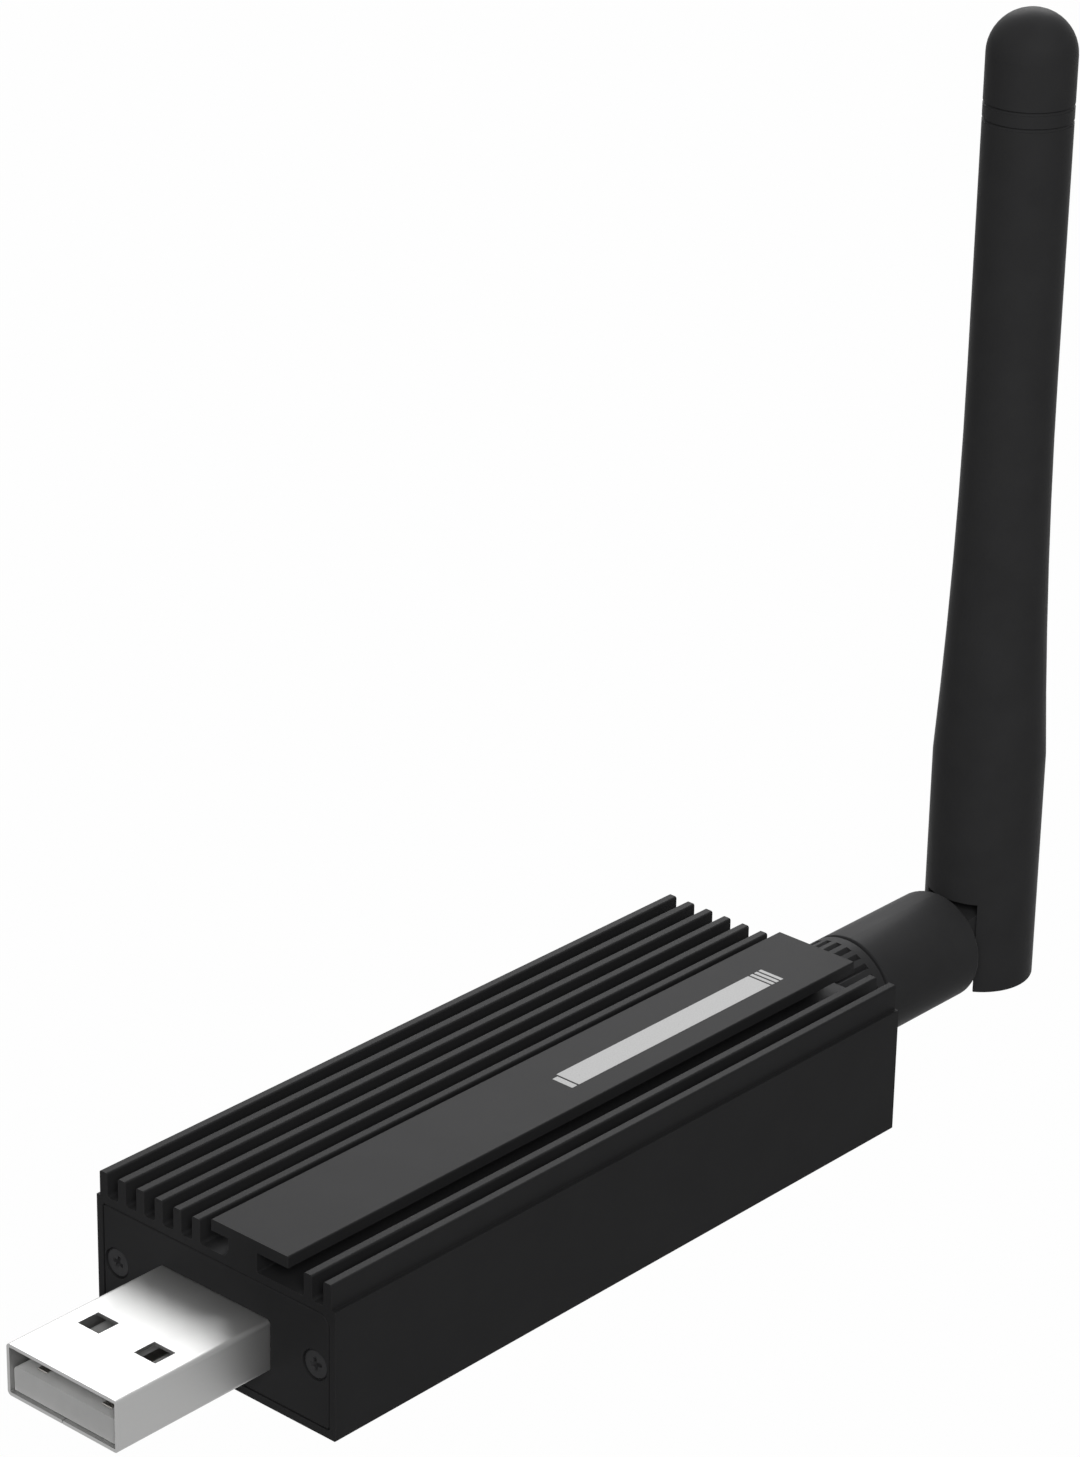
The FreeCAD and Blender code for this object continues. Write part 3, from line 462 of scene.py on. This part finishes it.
@dataclass(frozen=True)
class TurnedMetal(Finish):
    """Lathe-turned metal: fine rings about a line along X, and a thread where asked."""

    axis_height: float = 5.02 * MM
    ring_mm: float = 0.05
    ring_depth_mm: float = 0.003
    thread_pitch_mm: float = 0.0
    thread_from: float = 0.0
    thread_depth_mm: float = 0.12
    tarnish_mm: float = 0.8
    tarnish_change: Range = (-0.05, 0.12)
    cloud_mm: float = 1.5
    cloud_depth: float = 0.08

    def detail(self, desk: NodeDesk) -> None:
        """Add turning rings, tarnish, and the thread on what lies beyond its start.

        Args:
            desk: The material's node tree.
        """
        x, side, height = desk.axes()
        rise = desk.work_out("SUBTRACT", height, self.axis_height)
        squares = desk.work_out("ADD", desk.work_out("MULTIPLY", side, side),
                                desk.work_out("MULTIPLY", rise, rise))
        ring_place = desk.add("ShaderNodeCombineXYZ")
        desk.feed(ring_place.inputs[0], x)
        desk.feed(ring_place.inputs[1], desk.work_out("SQRT", squares))
        rings = desk.noise(self.ring_mm, point=ring_place.outputs[0])
        normal = desk.raise_surface(rings, self.ring_depth_mm, strength=0.5)
        if self.thread_pitch_mm > 0.0:
            turn = desk.work_out("DIVIDE", desk.work_out("ARCTAN2", rise, side), 2.0 * math.pi)
            travel = desk.work_out("DIVIDE", x, self.thread_pitch_mm * MM)
            # The wave goes up and down between 0 and one half once in each pitch.
            wave = desk.work_out("PINGPONG", desk.work_out("ADD", travel, turn), 0.5)
            started = desk.work_out("GREATER_THAN", x, self.thread_from)
            crest = desk.work_out("MULTIPLY", desk.work_out("MULTIPLY", wave, 2.0), started)
            normal = desk.raise_surface(crest, self.thread_depth_mm, strength=1.0, under=normal)
        tarnish = desk.noise(self.tarnish_mm, layers=3.0)
        desk.paint(Normal=normal, Roughness=self.uneven(desk, tarnish, self.tarnish_change),
                   Base_Color=self.cloud(desk, self.cloud_mm, self.cloud_depth))


@dataclass(frozen=True)
class MouldedPlastic(Finish):
    """Injection-moulded plastic with the fine spark-eroded texture of its mould."""

    grain_mm: float = 0.09
    grain_depth_mm: float = 0.012
    grain_change: float = 0.05
    sheen_mm: float = 4.0
    sheen_change: float = 0.04
    cloud_depth: float = 0.06
    # Where given, paler edges that are partly wear and partly a painted highlight.
    edge_wear_and_highlight: Optional[EdgeWearAndHighlight] = None

    def detail(self, desk: NodeDesk) -> None:
        """Add mould texture, uneven sheen, and edges paled by handling and by a painted highlight
        where asked.

        Args:
            desk: The material's node tree.
        """
        grain = desk.noise(self.grain_mm, layers=4.0)
        sheen = desk.noise(self.sheen_mm)
        normal = desk.raise_surface(grain, self.grain_depth_mm, strength=0.55)
        grained = self.uneven(desk, grain, (-self.grain_change, self.grain_change))
        sheened = desk.spread(sheen, -self.sheen_change, self.sheen_change, *NOISE_BULK)
        rough = desk.work_out("ADD", grained, sheened, clamp=True)
        colour = self.cloud(desk, self.sheen_mm, self.cloud_depth)
        if self.edge_wear_and_highlight is not None:
            colour = self.worn_and_highlit(desk, colour, self.edge_wear_and_highlight)
        desk.paint(Normal=normal, Roughness=rough, Base_Color=colour)


@dataclass(frozen=True)
class SolderMask(Finish):
    """Circuit board: coloured mask over copper tracks, on glass epoxy."""

    track_mm: float = 0.55
    tracks_per_cell: float = 8.0
    track_gap: float = 0.035
    track_height_mm: float = 0.035
    track_colour: Colour = (0.03, 0.10, 0.05)
    epoxy: Colour = (0.45, 0.42, 0.24)
    top: float = 4.57 * MM
    bottom: float = 2.97 * MM
    mask_thickness: float = 0.02 * MM
    gloss_patch_mm: float = 0.6
    gloss_change: Range = (-0.05, 0.1)
    gloss_range: Range = (0.0, 1.0)

    def detail(self, desk: NodeDesk) -> None:
        """Add raised tracks under the mask and the bare epoxy of the cut edges.

        Args:
            desk: The material's node tree.
        """
        cells = desk.add("ShaderNodeTexBrick")
        desk.feed(cells.inputs["Vector"], desk.place)
        cells.inputs["Scale"].default_value = 1.0 / (self.track_mm * MM * self.tracks_per_cell)
        cells.inputs["Mortar Size"].default_value = self.track_gap
        tracks = desk.work_out("SUBTRACT", 1.0, cells.outputs["Fac"])
        normal = desk.raise_surface(tracks, self.track_height_mm, strength=0.6)
        mask = desk.blend(tracks, self.colour, self.track_colour)
        height = desk.axes()[2]
        over = desk.work_out("GREATER_THAN", height, self.bottom + self.mask_thickness)
        under = desk.work_out("LESS_THAN", height, self.top - self.mask_thickness)
        cut_edge = desk.work_out("MULTIPLY", over, under)
        gloss = desk.noise(self.gloss_patch_mm)
        desk.paint(Normal=normal, Base_Color=desk.blend(cut_edge, mask, self.epoxy),
                   Roughness=self.uneven(desk, gloss, self.gloss_change, self.gloss_range))


@dataclass(frozen=True)
class TinnedEnds(Finish):
    """Small chip parts in rows across the board, each with a tinned cap at both ends."""

    rows: Tuple[float, ...] = ()
    body_half: float = 0.5 * MM
    tin: Colour = (0.62, 0.62, 0.60)
    speckle_mm: float = 0.3
    speckle: Range = (0.85, 1.1)
    grain_mm: float = 0.12
    grain_depth_mm: float = 0.01

    def detail(self, desk: NodeDesk) -> None:
        """Paint the caps of each row.

        Args:
            desk: The material's node tree.
        """
        x = desk.axes()[0]
        nearest: Level = 1.0
        for row in self.rows:
            apart = desk.work_out("ABSOLUTE", desk.work_out("SUBTRACT", x, row))
            nearest = desk.work_out("MINIMUM", nearest, apart)
        cap = desk.work_out("GREATER_THAN", nearest, self.body_half)
        dark, light = (self.shade(factor) for factor in self.speckle)
        ceramic = desk.blend(desk.noise(self.speckle_mm), dark, light)
        grain = desk.noise(self.grain_mm)
        desk.paint(Base_Color=desk.blend(cap, ceramic, self.tin), Metallic=cap,
                   Normal=desk.raise_surface(grain, self.grain_depth_mm, strength=0.5))


@dataclass(frozen=True)
class ClearLens(Finish):
    """Clear cap of a small indicator lamp."""

    transmission: float = 0.7
    flow_mm: float = 0.25
    flow_depth_mm: float = 0.01
    cloud_mm: float = 0.6
    cloud_depth: float = 0.05

    def detail(self, desk: NodeDesk) -> None:
        """Let light through and add faint flow marks.

        Args:
            desk: The material's node tree.
        """
        flow = desk.noise(self.flow_mm)
        desk.paint(Transmission_Weight=self.transmission,
                   Normal=desk.raise_surface(flow, self.flow_depth_mm, strength=0.4),
                   Base_Color=self.cloud(desk, self.cloud_mm, self.cloud_depth))


@dataclass(frozen=True)
class ScreenInk(Finish):
    """Screen-printed ink: flat and dry, with the pinholes and soft mottle of the mesh."""

    mesh_mm: float = 0.12
    mesh_depth_mm: float = 0.004
    mottle: Range = (0.92, 1.06)
    pinhole_mm: float = 0.35
    pinhole_range: Range = (0.22, 0.30)
    pinhole_share: float = 0.35
    pinhole_shade: float = 0.4

    def detail(self, desk: NodeDesk) -> None:
        """Add the mesh's mottle and a few pinholes.

        Args:
            desk: The material's node tree.
        """
        mesh = desk.noise(self.mesh_mm)
        holes = desk.spread(desk.noise(self.pinhole_mm, layers=3.0), 1.0, 0.0,
                            *self.pinhole_range)
        dark, light = (self.shade(factor) for factor in self.mottle)
        colour = desk.blend(desk.spread(mesh, 0.0, 1.0, *NOISE_BULK), dark, light)
        pinned = desk.work_out("MULTIPLY", holes, self.pinhole_share, clamp=True)
        colour = desk.blend(pinned, colour, self.shade(self.pinhole_shade))
        desk.paint(Base_Color=colour,
                   Normal=desk.raise_surface(mesh, self.mesh_depth_mm, strength=0.5))


CASE_BLACK = BlastedAnodising("case_black_anodising", (0.035, 0.035, 0.036),
                              roughness=0.50, specular=0.032)
SCREW_BLACK = DrawnMetal("screw_black_oxide", (0.050, 0.050, 0.052),
                         roughness=0.45, specular=0.08, anisotropy=0.0)
SHELL_STEEL = DrawnMetal("plug_shell_nickel", (0.40, 0.40, 0.397),
                         roughness=0.47, metallic=1.0, anisotropy=0.0,
                         line_depth_mm=0.0001, line_change=0.008, rub_depth=0.02)
TONGUE_PLASTIC = MouldedPlastic("plug_tongue_plastic", (0.90, 0.90, 0.89), roughness=0.42)
CONTACT_NICKEL = DrawnMetal("contact_nickel", (0.58, 0.56, 0.53),
                            roughness=0.38, metallic=1.0, line_mm=0.04)
BOARD_MASK = SolderMask("board_solder_mask", (0.008, 0.035, 0.016), roughness=0.28, coat=0.3)
CHIP_EPOXY = MouldedPlastic("chip_epoxy", (0.018, 0.018, 0.019),
                            roughness=0.55, specular=0.3, grain_mm=0.05)
CAN_TIN = DrawnMetal("tinned_can", (0.70, 0.70, 0.69),
                     roughness=0.26, metallic=1.0, along=Axis.Y)
LED_BLUE = ClearLens("led_lens_blue", (0.72, 0.84, 0.95), roughness=0.15)
LED_GREEN = ClearLens("led_lens_green", (0.78, 0.93, 0.76), roughness=0.15)
CERAMIC_ROWS = TinnedEnds("capacitor_ceramic", (0.42, 0.29, 0.17), roughness=0.45,
                          rows=(-21.75 * MM, 15.75 * MM))
RESISTOR_ROWS = TinnedEnds("resistor_glaze", (0.02, 0.02, 0.022), roughness=0.35,
                           rows=(-11.75 * MM, -2.25 * MM))
SWITCH_BLACK = MouldedPlastic("switch_plunger_plastic", (0.02, 0.02, 0.02),
                              roughness=0.4, specular=0.4)
GILT_JACK = TurnedMetal("gilt_turned_jack", (0.84, 0.62, 0.28),
                        roughness=0.24, metallic=1.0,
                        thread_pitch_mm=0.706, thread_from=33.65 * MM)
GILT_TURNED = TurnedMetal("gilt_turned_plug", (0.84, 0.62, 0.28),
                          roughness=0.24, metallic=1.0)
NICKEL_TURNED = TurnedMetal("nickel_turned", (0.66, 0.65, 0.62),
                            roughness=0.27, metallic=1.0)
WHITE_INSULATOR = MouldedPlastic("white_fluoropolymer", (0.80, 0.80, 0.78),
                                 roughness=0.35, specular=0.4)
# The aerial's paler edges are partly handling wear and partly a painted highlight.
AERIAL_BLACK = MouldedPlastic("aerial_black_plastic", (0.064, 0.064, 0.0655),
                              roughness=0.45, specular=0.015,
                              edge_wear_and_highlight=EdgeWearAndHighlight(radius_mm=0.10, patch_mm=0.9, share=(0.2, 0.8),
                                            lift=1.3))
CABLE_BROWN = MouldedPlastic("coaxial_jacket", (0.17, 0.085, 0.05),
                             roughness=0.32, grain_mm=0.2)
BRASS = DrawnMetal("radiator_brass", (0.68, 0.47, 0.19),
                   roughness=0.30, metallic=1.0, along=Axis.Z)
PRINT_GREY = ScreenInk("plate_print_grey", (0.58, 0.58, 0.58), roughness=0.60, specular=0.3)


@dataclass
class SubAssembly:
    """Base of the stick's sub-assemblies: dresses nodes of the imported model."""

    nodes: Dict[str, bpy.types.Object]

    def dress_all(self) -> None:
        """Dress every node of the sub-assembly."""
        raise NotImplementedError

    def dress(self, names: Iterable[str], finish: Finish, slot: str) -> None:
        """Give nodes their finish.

        Args:
            names: The nodes.
            finish: Their finish.
            slot: The record's material slot; not used.
        """
        for name in names:
            piece = self.nodes[name]
            piece.data.materials.clear()
            piece.data.materials.append(finish.material())
            LOG.info("dressed %s with %s", name, finish.name)


@dataclass
class Case(SubAssembly):
    """Finned aluminium case: extrusion, end panels, screws and the print on its plate."""

    plate_top: float = 14.03 * MM
    ink_thickness: float = 0.012 * MM
    corner_mm: float = 0.06
    corner_steps: int = 4
    mark_x_mm: Range = (0.65, 1.26)
    mark_y_mm: Range = (-5.68, -3.55)
    band_x_mm: Range = (1.46, 25.42)
    band_y_mm: Range = (-5.68, -3.25)
    bar_starts_mm: Tuple[float, ...] = (25.62, 26.18, 26.74)
    bar_width_mm: float = 0.36

    def dress_all(self) -> None:
        """Dress the metal pieces and print the plate."""
        self.dress(("housing", "front_panel", "rear_panel"), CASE_BLACK, "case_aluminium")
        self.dress(("front_panel_screws", "rear_panel_screws"), SCREW_BLACK, "black_screw")
        self.print_shape("print_mark", self.mark_x_mm, self.mark_y_mm)
        self.print_shape("print_band", self.band_x_mm, self.band_y_mm)
        for number, start in enumerate(self.bar_starts_mm, start=1):
            bar_x_mm = (start, start + self.bar_width_mm)
            self.print_shape("print_bar_%d" % number, bar_x_mm, self.band_y_mm)

    def print_shape(self, name: str, x_range: Range, y_range: Range) -> None:
        """Print one oblong on the plate, as a piece that rides on the stick.

        Args:
            name: The piece's name.
            x_range: Its first and last X, in millimetres.
            y_range: Its first and last Y, in millimetres.
        """
        mesh = self.ink_mesh(self.rounded(x_range, y_range))
        bmesh.ops.recalc_face_normals(mesh, faces=mesh.faces[:])
        data = bpy.data.meshes.new(name)
        mesh.to_mesh(data)
        mesh.free()
        data.materials.append(PRINT_GREY.material())
        piece = bpy.data.objects.new(name, data)
        bpy.context.scene.collection.objects.link(piece)
        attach(piece, STICK_BODY)
        LOG.info("built %s with %d faces", name, len(data.polygons))

    def rounded(self, x_range: Range, y_range: Range) -> List[Spot]:
        """Return an oblong's outline with its corners rounded.

        Args:
            x_range: Its first and last X, in millimetres.
            y_range: Its first and last Y, in millimetres.

        Returns:
            The outline's points in order, in millimetres.
        """
        (start, end), (low, high) = x_range, y_range
        corners = [Vector(spot) for spot in ((start, low), (end, low), (end, high), (start, high))]
        points = []
        for index, corner in enumerate(corners):
            following = corners[(index + 1) % len(corners)]
            leave = corner + (corners[index - 1] - corner).normalized() * self.corner_mm
            reach = corner + (following - corner).normalized() * self.corner_mm
            for step in range(self.corner_steps + 1):
                share = step / self.corner_steps
                point = leave.lerp(corner, share).lerp(corner.lerp(reach, share), share)
                points.append((point.x, point.y))
        return points

    def ink_mesh(self, outline: Sequence[Spot]) -> bmesh.types.BMesh:
        """Build the thin raised layer of one printed shape.

        Args:
            outline: Its outline, in millimetres.

        Returns:
            Its closed mesh.
        """
        mesh = bmesh.new()
        heights = (self.plate_top, self.plate_top + self.ink_thickness)
        bottom, top = ([mesh.verts.new((x * MM, y * MM, z)) for x, y in outline] for z in heights)
        mesh.faces.new(top)
        mesh.faces.new(list(reversed(bottom)))
        for index in range(len(outline)):
            after = (index + 1) % len(outline)
            mesh.faces.new((bottom[index], bottom[after], top[after], top[index]))
        return mesh


@dataclass
class UsbPlug(SubAssembly):
    """USB plug: rolled shell, plastic tongue and its four contacts."""

    contact_count: int = 4

    def dress_all(self) -> None:
        """Dress the shell, the tongue and the contacts."""
        self.dress(("usb_shell",), SHELL_STEEL, "plug_steel")
        self.dress(("usb_insulator",), TONGUE_PLASTIC, "plug_plastic")
        contacts = ["usb_contact_%d" % number for number in range(1, self.contact_count + 1)]
        self.dress(contacts, CONTACT_NICKEL, "contact_plating")


class Electronics(SubAssembly):
    """Circuit board with its chips, crystals, lamps, switches and small parts."""

    def dress_all(self) -> None:
        """Dress the board and everything soldered on it."""
        self.dress(("circuit_board",), BOARD_MASK, "board")
        self.dress(("usb_bridge_chip", "radio_chip", "voltage_regulator"), CHIP_EPOXY,
                   "chip_black")
        self.dress(("radio_crystal", "clock_crystal", "boot_switch_base", "reset_switch_base"),
                   CAN_TIN, "crystal_can")
        self.dress(("usb_status_led",), LED_BLUE, "led_blue")
        self.dress(("radio_status_led",), LED_GREEN, "led_green")
        self.dress(("board_capacitors",), CERAMIC_ROWS, "capacitor_ceramic")
        self.dress(("board_resistors",), RESISTOR_ROWS, "chip_black")
        self.dress(("boot_switch_plunger", "reset_switch_plunger"), SWITCH_BLACK,
                   "switch_plastic")


class AerialJack(SubAssembly):
    """Threaded jack in the rear panel, with its washer and nut."""

    def dress_all(self) -> None:
        """Dress the turned metal and the insulator."""
        self.dress(("jack_body",), GILT_JACK, "gilt_jack")
        self.dress(("jack_insulator",), WHITE_INSULATOR, "white_insulator")
        self.dress(("jack_contact",), CONTACT_NICKEL, "contact_plating")
        self.dress(("jack_washer", "jack_nut"), NICKEL_TURNED, "jack_steel")


class Aerial(SubAssembly):
    """Screw-on aerial: coupling, grooved collar, swivel sleeve and tilting whip."""

    def dress_all(self) -> None:
        """Dress the mouldings, the plug inside them and the radiator."""
        self.dress(("antenna_grip_collar", "antenna_sleeve", "antenna_whip"), AERIAL_BLACK,
                   "aerial_plastic")
        self.dress(("antenna_coupling_nut", "antenna_plug_body"), GILT_TURNED, "gilt_jack")
        self.dress(("antenna_plug_insulator",), WHITE_INSULATOR, "white_insulator")
        self.dress(("antenna_plug_pin",), CONTACT_NICKEL, "contact_plating")
        self.dress(("sleeve_cable", "whip_cable"), CABLE_BROWN, "cable_jacket")
        self.dress(("radiator_tube", "radiator_wire"), BRASS, "radiator_brass")


@dataclass(frozen=True)
class Softbox:
    """One square studio lamp, aimed at a point, with its power in watts."""

    name: str
    place: Point
    aim: Point
    size: float
    power: float

    def stand(self) -> None:
        """Make the lamp and turn it to its aim."""
        data = bpy.data.lights.new(self.name, "AREA")
        data.shape = "SQUARE"
        data.size = self.size
        data.energy = self.power
        lamp = bpy.data.objects.new(self.name, data)
        bpy.context.scene.collection.objects.link(lamp)
        lamp.location = self.place
        direction = Vector(self.aim) - Vector(self.place)
        lamp.rotation_mode = "QUATERNION"
        lamp.rotation_quaternion = direction.to_track_quat("-Z", "Y")
        LOG.info("stood %s", self.name)


@dataclass(frozen=True)
class Studio:
    """White floor and sky, soft light and the camera, whose angles are in radians."""

    camera_place: Point = (-0.249532, -0.224278, 0.193841)
    camera_azimuth: float = -0.8433329351
    camera_elevation: float = 0.4204308327
    camera_roll: float = 0.0187551510
    camera_lens_mm: float = 116.93712
    camera_clip: float = 0.01
    floor_half: float = 3.0
    floor_cells: int = 12
    floor_colour: Colour = (0.10, 0.10, 0.10)
    floor_roughness: float = 0.9
    floor_white: float = 0.99
    sky_light: float = 0.12
    lamps: Tuple[Softbox, ...] = (
        Softbox("rear_softbox", place=(0.475, 0.355, 0.43), aim=(0.0, 0.0, 0.0),
                size=0.45, power=4.3),
        Softbox("front_softbox", place=(-0.407, -0.438, 0.42), aim=(0.0, 0.0, 0.03),
                size=0.35, power=1.80),
    )

    def set_up(self) -> None:
        """Stand the camera and the lamps, and make the sky and the floor."""
        bpy.context.scene.view_settings.view_transform = "Standard"
        self.stand_camera()
        for lamp in self.lamps:
            lamp.stand()
        self.paint_sky()
        self.lay_floor()

    def stand_camera(self) -> None:
        """Make the camera at the photograph's place and angle."""
        data = bpy.data.cameras.new("studio_camera")
        data.lens = self.camera_lens_mm
        data.clip_start = self.camera_clip
        camera = bpy.data.objects.new("studio_camera", data)
        bpy.context.scene.collection.objects.link(camera)
        azimuth, elevation, roll = self.camera_azimuth, self.camera_elevation, self.camera_roll
        back = Vector((math.sin(azimuth) * math.cos(elevation),
                       -math.cos(azimuth) * math.cos(elevation),
                       math.sin(elevation)))
        right = (-back).cross(Vector((0.0, 0.0, 1.0))).normalized()
        up = right.cross(-back)
        side = right * math.cos(roll) + up * math.sin(roll)
        top = up * math.cos(roll) - right * math.sin(roll)
        turn = Matrix((side, top, back)).transposed().to_4x4()
        camera.matrix_world = Matrix.Translation(Vector(self.camera_place)) @ turn
        bpy.context.scene.camera = camera
        LOG.info("stood the camera")

    @staticmethod
    def seen_directly(tree: bpy.types.NodeTree) -> Socket:
        """Find the rays that show the background itself.

        Args:
            tree: The tree that needs the answer.

        Returns:
            An output that is 1 for rays from the camera, a gloss or clear plastic.
        """
        path = tree.nodes.new("ShaderNodeLightPath")
        total = path.outputs["Is Camera Ray"]
        for name in ("Is Glossy Ray", "Is Transmission Ray"):
            adder = tree.nodes.new("ShaderNodeMath")
            adder.operation = "ADD"
            adder.use_clamp = True
            tree.links.new(total, adder.inputs[0])
            tree.links.new(path.outputs[name], adder.inputs[1])
            total = adder.outputs[0]
        return total

    def paint_sky(self) -> None:
        """Make the world white to look at and a plain soft light for the object."""
        world = bpy.data.worlds.new("studio_sky")
        world.use_nodes = True
        bpy.context.scene.world = world
        tree = world.node_tree
        tree.nodes.clear()
        output = tree.nodes.new("ShaderNodeOutputWorld")
        light = tree.nodes.new("ShaderNodeBackground")
        light.inputs["Color"].default_value = WHITE
        light.inputs["Strength"].default_value = self.sky_light
        white = tree.nodes.new("ShaderNodeBackground")
        white.inputs["Color"].default_value = WHITE
        mix = tree.nodes.new("ShaderNodeMixShader")
        tree.links.new(self.seen_directly(tree), mix.inputs[0])
        tree.links.new(light.outputs[0], mix.inputs[1])
        tree.links.new(white.outputs[0], mix.inputs[2])
        tree.links.new(mix.outputs[0], output.inputs[0])

    def lay_floor(self) -> None:
        """Lay the floor: white to look at, with a small share of its own shaded colour."""
        mesh = bmesh.new()
        bmesh.ops.create_grid(mesh, x_segments=self.floor_cells, y_segments=self.floor_cells,
                              size=self.floor_half)
        data = bpy.data.meshes.new("studio_floor")
        mesh.to_mesh(data)
        mesh.free()
        data.materials.append(self.floor_material())
        floor = bpy.data.objects.new("studio_floor", data)
        bpy.context.scene.collection.objects.link(floor)
        LOG.info("laid the floor")

    def floor_material(self) -> bpy.types.Material:
        """Return the floor's material, a dull paper that shows as white."""
        desk = NodeDesk("studio_floor_paper")
        desk.paint(Base_Color=(*self.floor_colour, 1.0), Roughness=self.floor_roughness,
                   Specular_IOR_Level=0.0)
        glow = desk.add("ShaderNodeEmission")
        glow.inputs["Color"].default_value = WHITE
        share = desk.work_out("MULTIPLY", self.seen_directly(desk.tree), self.floor_white)
        mix = desk.add("ShaderNodeMixShader")
        desk.feed(mix.inputs[0], share)
        desk.feed(mix.inputs[1], desk.shader.outputs["BSDF"])
        desk.feed(mix.inputs[2], glow.outputs[0])
        desk.feed(desk.output.inputs["Surface"], mix.outputs[0])
        return desk.material


def main() -> None:
    """Load the frame, set up the studio and dress each sub-assembly in turn."""
    logging.basicConfig(level=logging.INFO, format="%(name)s: %(message)s")
    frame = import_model()
    nodes = frame["nodes"]
    Studio().set_up()
    for maker in (Case, UsbPlug, Electronics, AerialJack, Aerial):
        maker(nodes).dress_all()
        LOG.info("finished %s", maker.__name__)


if __name__ == "__main__":
    main()
